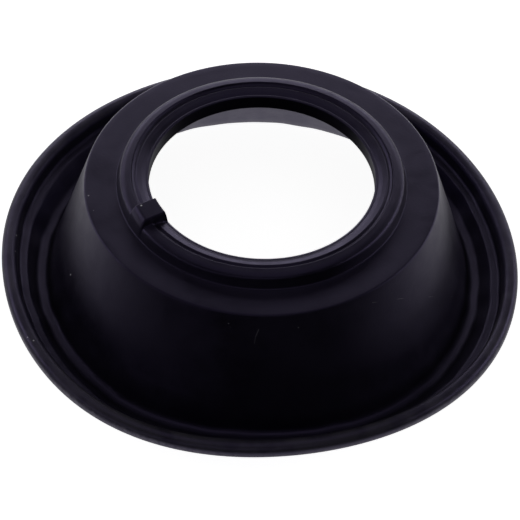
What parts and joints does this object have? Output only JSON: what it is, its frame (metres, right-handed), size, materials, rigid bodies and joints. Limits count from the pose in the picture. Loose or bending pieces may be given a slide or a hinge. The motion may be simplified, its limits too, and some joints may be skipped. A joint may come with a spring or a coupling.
{
  "type": "carburettor diaphragm",
  "caption": "Hat-shaped rubber membrane that seals a carburettor's vacuum slide, with a beaded hole, a thin cone, a rolling fold and a round rim bead.",
  "frame": {"origin": "on the axis of the hole, at the level of the fold's underside, which rests on the surface", "axes": "+Z along the axis, from the fold up to the inner bead; -Y is the side the picture was taken from, and the locating tab lies at -X -Y"},
  "size_m": [0.0658, 0.0658, 0.0187],
  "materials": {
    "rubber": "satin black moulded rubber"
  },
  "bodies": {
    "root": {"diaphragm": "rubber"}
  },
  "joints": []
}
